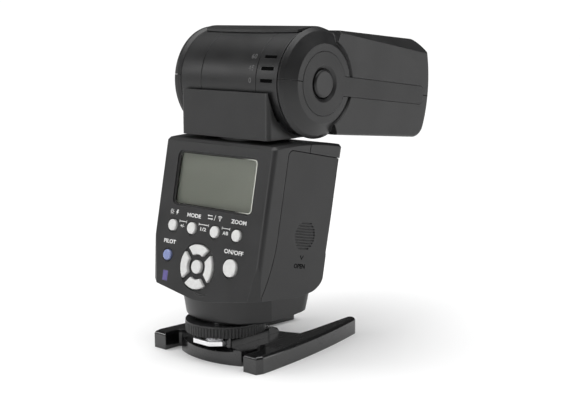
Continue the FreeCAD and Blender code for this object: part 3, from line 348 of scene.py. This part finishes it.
def display(name):
    """Reflective display, switched off: grey green with a faint dot matrix, and painted light that
    makes it paler towards the top and the +X side, darker towards the bottom and the -X side.
    """
    g = Graph(name)
    low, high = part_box("lcd_panel")
    split = g.node("SeparateXYZ", Vector=g.place)
    across = g.remap(split.outputs["X"], low.x, high.x, 0.0, 1.0)
    height = g.remap(split.outputs["Z"], low.z, high.z, 0.0, 1.0)
    # Painted light: paler towards the top and the +X side, darker towards the bottom and the -X
    # side.
    painted_light_grade = g.math("ADD", g.math("MULTIPLY", across, 0.4), g.math("MULTIPLY", height, 0.6))
    tone = g.mix(painted_light_grade, DISPLAY_GREEN_IN_PAINTED_SHADE, DISPLAY_GREEN_IN_PAINTED_LIGHT)
    cloud = g.spread(g.noise(0.012, 3.0), 0.0, 0.12)
    g.set(Base_Color=g.mix(cloud, tone, DISPLAY_CLOUD))
    g.set(Roughness=g.spread(g.noise(0.0008), 0.32, 0.42))
    g.bump(g.cells(DISPLAY_DOT), 0.000006, 0.3)
    return g.material


def display_edge_painted_light(name):
    """The lip round the clear window: painted shade, turning to a painted highlight on its +X side.
    """
    g = Graph(name)
    low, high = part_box("lcd_window")
    split = g.node("SeparateXYZ", Vector=g.place)
    painted_highlight_from = low.x + (high.x - low.x) * LIP_PAINTED_HIGHLIGHT_FROM
    # Painted highlight on the +X side of the lip, painted shade elsewhere.
    painted_highlight = g.remap(split.outputs["X"], painted_highlight_from, high.x, 0.0, 1.0)
    g.set(Base_Color=g.mix(painted_highlight, LIP_PAINTED_SHADE, LIP_PAINTED_HIGHLIGHT))
    g.set(Roughness=g.spread(g.noise(0.0008), 0.15, 0.25))
    return g.material


def board(name):
    """Solder mask with paler tracks."""
    g = Graph(name)
    tracks = g.node("TexBrick", Vector=g.place, Scale=420.0)
    pale = g.remap(tracks.outputs["Fac"], 0.0, 1.0, 0.0, 0.5)
    g.set(Base_Color=g.mix(pale, MASK_GREEN, TRACK_GREEN))
    g.set(Roughness=g.spread(g.noise(0.003), 0.25, 0.4))
    g.bump(tracks.outputs["Fac"], 0.00003, 0.4)
    return g.material


def cell_jacket(name):
    """Printed cell sleeve: a dark can with a copper-coloured end band."""
    g = Graph(name)
    low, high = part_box("aa_cells")
    split = g.node("SeparateXYZ", Vector=g.place)
    along = g.remap(split.outputs["Z"], low.z, high.z, 0.0, 1.0)
    band = g.math("GREATER_THAN", along, CELL_BAND_FROM)
    g.set(Base_Color=g.mix(band, CELL_DARK, CELL_COPPER))
    g.set(Metallic=0.6, Roughness=g.spread(g.noise(0.004), 0.25, 0.4))
    return g.material


def card(name):
    """White fibre card."""
    g = Graph(name)
    fibres = g.noise(0.0006, 4.0, (1.0, 0.3, 1.0))
    g.set(Base_Color=g.mix(fibres, CARD_DIM, CARD_BRIGHT))
    g.set(Roughness=g.spread(fibres, 0.5, 0.65))
    g.bump(fibres, 0.00003, 0.4)
    return g.material


MATERIALS = {
    "stand_black": polished("stand_gloss_black", (0.0054, 0.0054, 0.0057), 0.2),
    "brass": metal("turned_brass", (0.72, 0.52, 0.22), 0.28),
    "foot_metal": metal("plated_foot", (0.82, 0.82, 0.83), 0.2, (1.0, 0.05, 1.0)),
    "steel": metal("plain_steel", (0.55, 0.55, 0.56), 0.3),
    "washer_metal": metal("spring_steel", (0.42, 0.42, 0.43), 0.3, (1.0, 0.1, 1.0)),
    "ring_black": moulded("ring_ribbed_black", (0.0096, 0.0096, 0.0099), 0.42, wear_and_highlight=0.5),
    "housing_black": moulded("housing_satin_black", (0.0120, 0.0120, 0.0123), 0.4),
    "case_black": moulded("case_satin_black", (0.0165, 0.0165, 0.0168), 0.42),
    "door_black": moulded("door_satin_black", (0.0138, 0.0138, 0.0141), 0.44),
    "inner_plastic": moulded("inner_plain_plastic", (0.035, 0.035, 0.036), 0.5),
    "lcd_glass": clear("lcd_clear_window", (0.95, 0.97, 0.95), 0.03),
    "lcd_display": display("lcd_grey_green"),
    "membrane_rubber": moulded("membrane_rubber", (0.0120, 0.0120, 0.0126), 0.6, wear_and_highlight=0.0),
    "board": board("board_green_mask"),
    "key_white": key_plastic("key_pale_grey", (0.66, 0.66, 0.65), 0.25),
    "pilot_blue": key_plastic("pilot_blue_plastic", (0.25, 0.295, 0.51), 0.4, 0.2),
    "indicator_violet": key_plastic("indicator_violet_window", (0.14, 0.12, 0.3), 0.3, 0.2),
    "cell_jacket": cell_jacket("cell_printed_sleeve"),
    "contact_metal": metal("contact_plating", (0.75, 0.72, 0.62), 0.25),
    "capacitor_sleeve": polished("capacitor_sleeve", (0.012, 0.012, 0.018), 0.3),
    "transformer_core": moulded("transformer_tape", (0.32, 0.22, 0.03), 0.45),
    "sensor_red": polished("sensor_dark_red", (0.03, 0.002, 0.003), 0.12),
    "sensor_dark": polished("sensor_package", (0.02, 0.02, 0.03), 0.25),
    "neck_black": moulded("neck_satin_black", (0.0144, 0.0144, 0.0147), 0.42),
    "drum_black": moulded("drum_satin_black", (0.0120, 0.0120, 0.0123), 0.4),
    "head_black": moulded("head_satin_black", (0.0126, 0.0126, 0.0129), 0.4),
    "cap_black": moulded("cap_satin_black", (0.0138, 0.0138, 0.0141), 0.44),
    "button_black": moulded("button_satin_black", (0.0120, 0.0120, 0.0123), 0.36),
    "lens_clear": clear("lens_clear_plastic", (0.93, 0.95, 0.96), 0.06),
    "reflector_metal": metal("reflector_bright_sheet", (0.9, 0.9, 0.91), 0.1, (1.0, 1.0, 0.1)),
    "tube_glass": clear("quartz_tube", (0.96, 0.96, 0.96), 0.02),
    "card_white": card("bounce_card_white"),
}
PRINT_WHITE = moulded("legend_print_white", (0.8, 0.8, 0.79), 0.5, wear_and_highlight=0.0)
PRINT_GREY = moulded("dial_print_grey", (0.11, 0.11, 0.11), 0.5, wear_and_highlight=0.0)
# Near black, with almost no reflection: dark print on the door, painted shade in the drum's marks,
# and the dark seals in the head's seam.
BLACK_PRINT_AND_PAINTED_SHADE = moulded("black_print_and_painted_shade", (0.002, 0.002, 0.002), 0.6, wear_and_highlight=0.0, ior=1.08)
WINDOW_EDGE_PAINTED_LIGHT = display_edge_painted_light("lcd_window_edge_painted_highlight")


def dress_nodes():
    """Give every CAD node the material of its slot."""
    for part in frame["record"]["subparts"]:
        data = frame["nodes"][part["node"]].data
        data.materials.clear()
        data.materials.append(MATERIALS[part["material_slot"]])


# ---- printed legends --------------------------------------------------------------------
def on_face(x, up, out):
    """A point on the rear face: x across, `up` from the face's top edge (negative), `out` proud."""
    return FACE_TOP + Vector((x, 0.0, 0.0)) - FACE_DOWN * up - FACE_IN * out


def on_drum(x, along, out):
    """A point on the drum's rear: `along` is the arc length up from the level line."""
    angle = along / DRUM_RADIUS
    reach = DRUM_RADIUS + out
    return PIVOT + Vector((x, -reach * math.cos(angle), reach * math.sin(angle)))


def on_seam(x, ahead, out):
    """A point on the level where the head's two shells meet."""
    cos_droop, sin_droop = math.cos(HEAD_DROOP), math.sin(HEAD_DROOP)
    lift = out * SEAL_LIFT
    forward = ahead * cos_droop + lift * sin_droop
    up = lift * cos_droop - ahead * sin_droop
    return PIVOT + Vector((x, forward, up))


def on_door(inward, up, out):
    """A point on the battery door's outer face."""
    spot = FACE_TOP + FACE_IN * inward - FACE_DOWN * up
    return Vector((DOOR_FACE_X + out, spot.y, spot.z))


def face_up(z):
    """How far up the face a height in metres is, from the face's top edge."""
    return (z - FACE_TOP.z) / math.cos(FACE_LEAN)


def solid_outline(points):
    """A flat closed outline, as vertices on two levels and the faces between them."""
    count = len(points)
    verts = [(x, y, 0.0) for x, y in points] + [(x, y, 1.0) for x, y in points]
    faces = [tuple(reversed(range(count))), tuple(range(count, 2 * count))]
    for i in range(count):
        j = (i + 1) % count
        faces.append((i, j, count + j, count + i))
    return verts, faces


def ring_outline(radius, width, start=0.0, end=360.0, steps=20):
    """A band of a circle, as a closed outline."""
    turns = [math.radians(start + (end - start) * i / steps) for i in range(steps + 1)]
    outer = [(radius * math.cos(a), radius * math.sin(a)) for a in turns]
    near = radius - width
    inner = [(near * math.cos(a), near * math.sin(a)) for a in reversed(turns)]
    return outer + inner


def bar(x0, y0, x1, y1, width):
    """A straight stroke, as a closed outline."""
    run = Vector((x1 - x0, y1 - y0))
    side = Vector((-run.y, run.x)).normalized() * width / 2
    return [(x0 - side.x, y0 - side.y), (x1 - side.x, y1 - side.y), (x1 + side.x, y1 + side.y),
            (x0 + side.x, y0 + side.y)]


def text_solid(body, width, height, weight):
    """Lettering that fills width x height, centred, as vertices on two levels and faces."""
    curve = bpy.data.curves.new("lettering", "FONT")
    curve.body = body
    curve.align_x = "CENTER"
    curve.offset = weight
    curve.resolution_u = TEXT_STEPS
    curve.extrude = 0.5
    holder = bpy.data.objects.new("lettering", curve)
    mesh = bpy.data.meshes.new_from_object(holder)
    xs = [v.co.x for v in mesh.vertices]
    ys = [v.co.y for v in mesh.vertices]
    middle = ((min(xs) + max(xs)) / 2, (min(ys) + max(ys)) / 2)
    scale = (width / (max(xs) - min(xs)), height / (max(ys) - min(ys)))
    verts = []
    for vertex in mesh.vertices:
        x, y, z = vertex.co
        level = 1.0 if z > 0 else 0.0
        verts.append(((x - middle[0]) * scale[0], (y - middle[1]) * scale[1], level))
    faces = [tuple(p.vertices) for p in mesh.polygons]
    bpy.data.objects.remove(holder)
    bpy.data.curves.remove(curve)
    bpy.data.meshes.remove(mesh)
    return verts, faces


class Print:
    """Marks gathered into one piece and laid on a surface."""

    def __init__(self, surface):
        self.surface = surface
        self.verts = []
        self.faces = []

    def add(self, shape, x, y):
        """Lay a shape's two levels just under and just over the surface, about (x, y)."""
        verts, faces = shape
        start = len(self.verts)
        for vx, vy, level in verts:
            self.verts.append(self.surface(x + vx, y + vy, PRINT_THICK * (2 * level - 1)))
        self.faces += [tuple(start + i for i in face) for face in faces]

    def piece(self, name, body, material):
        """Make the mesh, and let it ride on a body."""
        mesh = bpy.data.meshes.new(name)
        mesh.from_pydata([tuple(v) for v in self.verts], [], self.faces)
        mesh.validate()
        mesh.update()
        mesh.materials.append(material)
        made = bpy.data.objects.new(name, mesh)
        bpy.context.scene.collection.objects.link(made)
        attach(made, body)


def add_words(legends):
    """The words over the keys."""
    for word, x, z, width, height in WORDS:
        legends.add(text_solid(word, width, height, TEXT_WEIGHT), x, face_up(z))


def add_links(legends):
    """The brackets between the keys of the upper row, with the captions under them."""
    y = face_up(LINK_Z)
    for left, right in LINKS:
        legends.add(solid_outline(bar(left, 0.0, right, 0.0, LINK_STROKE)), 0.0, y)
        for end in (left, right):
            legends.add(solid_outline(bar(end, -LINK_END, end, LINK_END, STROKE)), 0.0, y)
    for word, x, width in CAPTIONS:
        legends.add(text_solid(word, width, CAPTION_HIGH, TEXT_WEIGHT), x, face_up(CAPTION_Z))


def add_lamp(legends):
    """A ring with eight rays."""
    y = face_up(LAMP_Z)
    legends.add(solid_outline(ring_outline(LAMP_R, STROKE)), LAMP_X, y)
    for turn in range(RAY_COUNT):
        angle = math.radians(360 / RAY_COUNT * turn)
        way = Vector((math.cos(angle), math.sin(angle)))
        near, far = way * RAY_FROM, way * RAY_TO
        legends.add(solid_outline(bar(near.x, near.y, far.x, far.y, RAY_STROKE)), LAMP_X, y)


def add_transfer(legends):
    """Two opposed arrows, a slash, and the arcs of a signal above its dot."""
    y = face_up(TRANSFER_Z)
    legends.add(solid_outline(ARROW), ARROW_X, y)
    legends.add(solid_outline([(-x, -up) for x, up in ARROW]), ARROW_X, y)
    legends.add(solid_outline(bar(*SLASH, STROKE)), 0.0, y)
    rings = [ring_outline(radius, STROKE, *SIGNAL_SPAN, SIGNAL_STEPS) for radius in SIGNAL_ARCS]
    rings.append(ring_outline(SIGNAL_DOT, SIGNAL_DOT_WIDE))
    for ring in rings:
        legends.add(solid_outline(ring), SIGNAL_X, y - SIGNAL_DROP)


def face_print():
    """Everything printed on the rear face, as one piece."""
    legends = Print(on_face)
    add_words(legends)
    add_links(legends)
    add_lamp(legends)
    legends.add(solid_outline(BOLT), BOLT_X, face_up(LAMP_Z))
    add_transfer(legends)
    legends.piece("legends_face", "flash_body", PRINT_WHITE)


def rounded_loop(width, height, radius):
    """The corners of a rounded rectangle about the origin, in order."""
    points = []
    for quarter, (sx, sy) in enumerate(((1, 1), (-1, 1), (-1, -1), (1, -1))):
        cx, cy = sx * (width / 2 - radius), sy * (height / 2 - radius)
        for step in range(CORNER_STEPS + 1):
            angle = math.radians(90 * (quarter + step / CORNER_STEPS))
            points.append((cx + radius * math.cos(angle), cy + radius * math.sin(angle)))
    return points


def frame_solid(width, height, radius, band):
    """A flat rounded frame, as vertices on two levels and the faces between them."""
    loops = [rounded_loop(width, height, radius),
             rounded_loop(width - 2 * band, height - 2 * band, radius - band)]
    count = len(loops[0])
    verts = [(x, y, level) for level in (0.0, 1.0) for loop in loops for x, y in loop]
    outer_low, inner_low, outer_high, inner_high = (count * i for i in range(4))
    faces = []
    for i in range(count):
        j = (i + 1) % count
        faces.append((outer_high + i, outer_high + j, inner_high + j, inner_high + i))
        faces.append((outer_low + j, outer_low + i, inner_low + i, inner_low + j))
        faces.append((outer_low + i, outer_low + j, outer_high + j, outer_high + i))
        faces.append((inner_low + j, inner_low + i, inner_high + i, inner_high + j))
    return verts, faces


def window_edge():
    """A thin lip round the display's clear window, with a painted highlight on its +X side."""
    width, height = WINDOW_SIZE
    edge = Print(lambda x, up, out: on_face(x, up, out * WINDOW_LIP - WINDOW_DEPTH))
    edge.add(frame_solid(width, height, WINDOW_CORNER, WINDOW_BAND), 0.0, -WINDOW_MIDDLE)
    edge.piece("lcd_window_edge_painted_highlight", "flash_body", WINDOW_EDGE_PAINTED_LIGHT)


def door_print():
    """The word and the arrow on the battery door."""
    legends = Print(on_door)
    word, inward, up, width, height = DOOR_WORD
    legends.add(text_solid(word, width, height, TEXT_WEIGHT), inward, up)
    for end in (-DOOR_ARROW_HALF, DOOR_ARROW_HALF):
        stroke = bar(end, DOOR_ARROW_TOP, 0.0, DOOR_ARROW_TIP, DOOR_ARROW_STROKE)
        legends.add(solid_outline(stroke), *DOOR_ARROW_PLACE)
    legends.piece("legends_door", "door", BLACK_PRINT_AND_PAINTED_SHADE)


def seam_seals():
    """Dark tongues in the seam of the head's shells, so that no light passes at its ends."""
    seals = Print(on_seam)
    for outline in SEAL_ENDS:
        seals.add(solid_outline(outline), 0.0, 0.0)
        seals.add(solid_outline([(-x, ahead) for x, ahead in reversed(outline)]), 0.0, 0.0)
    seals.piece("seam_seals", "head", BLACK_PRINT_AND_PAINTED_SHADE)


def dial_print():
    """The numbers beside the drum's marks, and a dark fill in the marks that paints the shade of
    their recesses.
    """
    legends = Print(on_drum)
    # The dark fill paints the shade of each mark's recess, just under the drum's surface.
    recess_shade = Print(lambda x, along, out: on_drum(x, along, out - RECESS_SHADE_DEPTH))
    half = TICK_WIDE / 2
    low, high = TICK_X
    tick = solid_outline([(low, -half), (high, -half), (high, half), (low, half)])
    digit_wide, digit_high = DIAL_DIGIT
    for number, angle in DIAL_NUMBERS:
        along = math.radians(angle) * DRUM_RADIUS
        digits = text_solid(number, digit_wide * len(number), digit_high, DIAL_WEIGHT)
        legends.add(digits, DIAL_X, along)
        recess_shade.add(tick, 0.0, along)
    legends.piece("legends_dial", "neck", PRINT_GREY)
    recess_shade.piece("dial_painted_recess_shade", "neck", BLACK_PRINT_AND_PAINTED_SHADE)


# ---- stage --------------------------------------------------------------------------------
def add_camera():
    """A camera behind and to the right of the part, a little above it."""
    sin_yaw, cos_yaw = math.sin(CAMERA_YAW), math.cos(CAMERA_YAW)
    level = Vector((-sin_yaw, cos_yaw, 0.0))
    side = Vector((cos_yaw, sin_yaw, 0.0))
    upright = Vector((0.0, 0.0, 1.0))
    forward = level * math.cos(CAMERA_PITCH) + upright * math.sin(CAMERA_PITCH)
    up = upright * math.cos(CAMERA_PITCH) - level * math.sin(CAMERA_PITCH)
    right = side * math.cos(CAMERA_ROLL) + up * math.sin(CAMERA_ROLL)
    up = up * math.cos(CAMERA_ROLL) - side * math.sin(CAMERA_ROLL)
    lens = bpy.data.cameras.new("camera")
    lens.lens = CAMERA_LENS
    lens.sensor_width = CAMERA_SENSOR
    lens.clip_start = CAMERA_NEAR
    camera = bpy.data.objects.new("camera", lens)
    turn = Matrix((right, up, -forward)).transposed().to_4x4()
    camera.matrix_world = Matrix.Translation(CAMERA_PLACE) @ turn
    bpy.context.scene.collection.objects.link(camera)
    bpy.context.scene.camera = camera


def add_floor():
    mesh = bpy.data.meshes.new("floor")
    signs = ((-1, -1), (1, -1), (1, 1), (-1, 1))
    corners = [(x * FLOOR_REACH, y * FLOOR_REACH, 0.0) for x, y in signs]
    mesh.from_pydata(corners, [], [(0, 1, 2, 3)])
    floor = bpy.data.objects.new("floor", mesh)
    bpy.context.scene.collection.objects.link(floor)
    g = Graph("floor_white")
    g.set(Base_Color=g.mix(g.noise(FLOOR_PATCH), FLOOR_DIM, FLOOR_BRIGHT), Roughness=FLOOR_ROUGH)
    mesh.materials.append(g.material)


def add_light(name, place, size, power):
    """A rectangular light that faces the middle of the part."""
    light = bpy.data.lights.new(name, "AREA")
    light.shape = "RECTANGLE"
    light.size, light.size_y = size
    light.energy = power
    made = bpy.data.objects.new(name, light)
    made.location = place
    made.rotation_euler = (Vector(LIGHT_TARGET) - Vector(place)).to_track_quat("-Z", "Y").to_euler()
    bpy.context.scene.collection.objects.link(made)


def add_world():
    """A plain studio: white towards the horizon for the camera, dim for everything else."""
    world = bpy.data.worlds.new("studio")
    world.use_nodes = True
    tree = world.node_tree
    seen = tree.nodes["Background"]
    seen.inputs["Color"].default_value = WHITE
    seen.inputs["Strength"].default_value = WORLD_SEEN
    fill = tree.nodes.new("ShaderNodeBackground")
    fill.inputs["Color"].default_value = WHITE
    fill.inputs["Strength"].default_value = WORLD_FILL
    path = tree.nodes.new("ShaderNodeLightPath")
    mix = tree.nodes.new("ShaderNodeMixShader")
    tree.links.new(path.outputs["Is Camera Ray"], mix.inputs["Fac"])
    tree.links.new(fill.outputs["Background"], mix.inputs[1])
    tree.links.new(seen.outputs["Background"], mix.inputs[2])
    tree.links.new(mix.outputs["Shader"], tree.nodes["World Output"].inputs["Surface"])
    bpy.context.scene.world = world
    bpy.context.scene.view_settings.view_transform = "Standard"


def add_sun():
    """A wide sun from above, which keeps the floor even out to the horizon."""
    light = bpy.data.lights.new("sun", "SUN")
    light.energy = SUN_STRENGTH
    light.angle = SUN_SPREAD
    bpy.context.scene.collection.objects.link(bpy.data.objects.new("sun", light))


add_camera()
add_floor()
add_world()
add_sun()
for light in LIGHTS:
    add_light(*light)
dress_nodes()
face_print()
window_edge()
door_print()
dial_print()
seam_seals()
